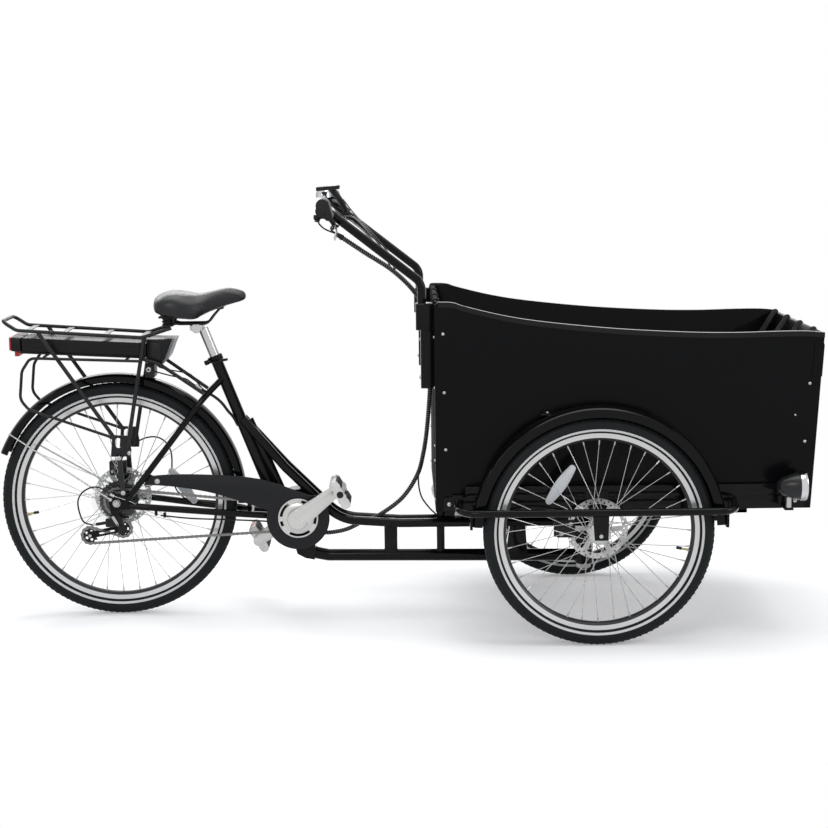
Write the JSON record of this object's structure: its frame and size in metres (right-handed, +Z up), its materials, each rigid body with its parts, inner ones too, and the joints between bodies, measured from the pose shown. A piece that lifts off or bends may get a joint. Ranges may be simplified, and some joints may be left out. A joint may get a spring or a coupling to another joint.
{
  "type": "electric cargo tricycle",
  "caption": "Front-loading electric cargo tricycle: an open box between its steered front wheels, a driven rear wheel, and a rack with a battery behind the saddle.",
  "frame": {"origin": "on the ground, under the middle of the machine's length and width", "axes": "+X forward, +Y to the rider's left, +Z up"},
  "size_m": [2.208, 0.874, 1.182],
  "materials": {
    "frame_paint": "satin black paint",
    "black_plastic": "satin black plastic",
    "guard_plastic": "satin black moulded plastic",
    "fender_gloss": "gloss black",
    "box_gloss": "plywood with gloss black lacquer",
    "bench_wood": "plywood with black stain",
    "steel": "bare steel",
    "alloy": "silver anodised and machined",
    "chrome": "polished",
    "tyre": "black with a thin white line round the wall",
    "grip_rubber": "black",
    "saddle_cover": "dark grey synthetic cover"
  },
  "bodies": {
    "root": {"frame": "frame_paint", "drive_unit": "black_plastic", "seat_clamp": "frame_paint", "rear_rack": "frame_paint", "controller_box": "black_plastic", "rear_fender": "fender_gloss", "rear_brake_caliper": "black_plastic", "chain_guard": "guard_plastic", "chain": "steel", "derailleur_body": "frame_paint"},
    "wheel_rear": {"tyre_rear": "tyre", "rim_rear": "alloy", "hub_rear": "alloy", "rotor_rear": "steel"},
    "cassette": {"cassette": "steel"},
    "crank": {"crank_right": "alloy", "crank_left": "alloy"},
    "sprocket": {"chainring": "alloy"},
    "pedal_right": {"pedal_right": "alloy"},
    "pedal_left": {"pedal_left": "alloy"},
    "derailleur_cage": {"derailleur_cage": "frame_paint"},
    "guide_pulley": {"guide_pulley": "black_plastic"},
    "tension_pulley": {"tension_pulley": "black_plastic"},
    "seatpost": {"seatpost": "alloy", "saddle_rails": "steel", "saddle": "saddle_cover"},
    "seat_lever": {"seat_lever": "frame_paint"},
    "battery": {"battery": "black_plastic"},
    "steering": {"steer_chassis": "frame_paint", "panel_right": "box_gloss", "panel_left": "box_gloss", "panel_front": "box_gloss", "panel_rear": "box_gloss", "box_floor": "bench_wood", "bench_rear": "bench_wood", "bench_front": "bench_wood", "handlebar_right": "frame_paint", "handlebar_left": "frame_paint", "grip_right": "grip_rubber", "grip_left": "grip_rubber", "brake_mount_right": "black_plastic", "brake_mount_left": "black_plastic", "display": "black_plastic", "fender_front_right": "fender_gloss", "fender_front_left": "fender_gloss", "caliper_front_right": "black_plastic", "caliper_front_left": "black_plastic", "cable_bundle": "black_plastic"},
    "wheel_front_right": {"tyre_front_right": "tyre", "rim_front_right": "alloy", "hub_front_right": "alloy", "rotor_front_right": "steel"},
    "wheel_front_left": {"tyre_front_left": "tyre", "rim_front_left": "alloy", "hub_front_left": "alloy", "rotor_front_left": "steel"},
    "brake_lever_right": {"brake_lever_right": "alloy"},
    "brake_lever_left": {"brake_lever_left": "alloy"},
    "shift_lever": {"shift_lever": "black_plastic"},
    "headlight": {"headlight": "chrome"}
  },
  "joints": [
    {"name": "rear_wheel_spin", "type": "hinge", "parent": "root", "child": "wheel_rear", "pos_m": [-0.778, 0, 0.326], "axis": [0, 1, 0], "continuous": true},
    {"name": "cassette_spin", "type": "hinge", "parent": "root", "child": "cassette", "pos_m": [-0.778, 0, 0.326], "axis": [0, 1, 0], "continuous": true},
    {"name": "crank_spin", "type": "hinge", "parent": "root", "child": "crank", "pos_m": [-0.281, 0, 0.275], "axis": [0, 1, 0], "continuous": true},
    {"name": "sprocket_spin", "type": "hinge", "parent": "root", "child": "sprocket", "pos_m": [-0.281, 0, 0.275], "axis": [0, 1, 0], "continuous": true},
    {"name": "pedal_right_spin", "type": "hinge", "parent": "crank", "child": "pedal_right", "pos_m": [-0.15945, -0.14, 0.36626], "axis": [0, 1, 0], "continuous": true},
    {"name": "pedal_left_spin", "type": "hinge", "parent": "crank", "child": "pedal_left", "pos_m": [-0.40255, 0.14, 0.18374], "axis": [0, 1, 0], "continuous": true},
    {"name": "derailleur_swing", "type": "hinge", "parent": "root", "child": "derailleur_cage", "pos_m": [-0.766, 0, 0.2495], "axis": [0, 1, 0], "range_deg": [-40, 0], "stiffness_Nm_per_rad": 0.5, "springref_deg": 17.19, "deforming": ["chain"]},
    {"name": "guide_pulley_spin", "type": "hinge", "parent": "derailleur_cage", "child": "guide_pulley", "pos_m": [-0.766, -0.045, 0.2495], "axis": [0, 1, 0], "continuous": true},
    {"name": "tension_pulley_spin", "type": "hinge", "parent": "derailleur_cage", "child": "tension_pulley", "pos_m": [-0.858, -0.045, 0.2315], "axis": [0, 1, 0], "continuous": true},
    {"name": "seatpost_slide", "type": "slide", "parent": "root", "child": "seatpost", "axis": [-0.3599, 0, 0.933], "range_m": [0, 0.15]},
    {"name": "seat_lever_swing", "type": "hinge", "parent": "root", "child": "seat_lever", "pos_m": [-0.52084, -0.0205, 0.69598], "axis": [0.3599, 0, -0.933], "range_deg": [0, 150]},
    {"name": "battery_slide", "type": "slide", "parent": "root", "child": "battery", "axis": [-0.9986, 0, 0.0526], "range_m": [0, 0.35]},
    {"name": "steering", "type": "hinge", "parent": "root", "child": "steering", "pos_m": [0.515, 0, 0.2], "axis": [0, 0, 1], "range_deg": [-35, 35], "deforming": ["cable_bundle"]},
    {"name": "front_right_wheel_spin", "type": "hinge", "parent": "steering", "child": "wheel_front_right", "pos_m": [0.515, -0.375, 0.3], "axis": [0, 1, 0], "continuous": true},
    {"name": "front_left_wheel_spin", "type": "hinge", "parent": "steering", "child": "wheel_front_left", "pos_m": [0.515, 0.375, 0.3], "axis": [0, 1, 0], "continuous": true},
    {"name": "brake_lever_right_pull", "type": "hinge", "parent": "steering", "child": "brake_lever_right", "pos_m": [-0.157, -0.279, 1.086], "axis": [-0.8984, 0, -0.4392], "range_deg": [0, 12], "stiffness_Nm_per_rad": 0.5, "springref_deg": -11.46},
    {"name": "brake_lever_left_pull", "type": "hinge", "parent": "steering", "child": "brake_lever_left", "pos_m": [-0.157, 0.279, 1.086], "axis": [0.8984, 0, 0.4392], "range_deg": [0, 12], "stiffness_Nm_per_rad": 0.5, "springref_deg": -11.46},
    {"name": "shift_lever_push", "type": "hinge", "parent": "steering", "child": "shift_lever", "pos_m": [-0.203, -0.285, 1.104], "axis": [0, 0, 1], "range_deg": [0, 25], "stiffness_Nm_per_rad": 0.2, "springref_deg": -11.46},
    {"name": "headlight_turn", "type": "hinge", "parent": "steering", "child": "headlight", "pos_m": [1.0086, -0.362, 0.411], "axis": [0, 0, 1], "range_deg": [-10, 10]}
  ],
  "couplings": [
    {"joint": "sprocket_spin", "follows": "crank_spin", "ratio": 2.5},
    {"joint": "cassette_spin", "follows": "crank_spin", "ratio": 2.3611},
    {"joint": "guide_pulley_spin", "follows": "crank_spin", "ratio": -3.8636},
    {"joint": "tension_pulley_spin", "follows": "crank_spin", "ratio": 3.8636}
  ]
}
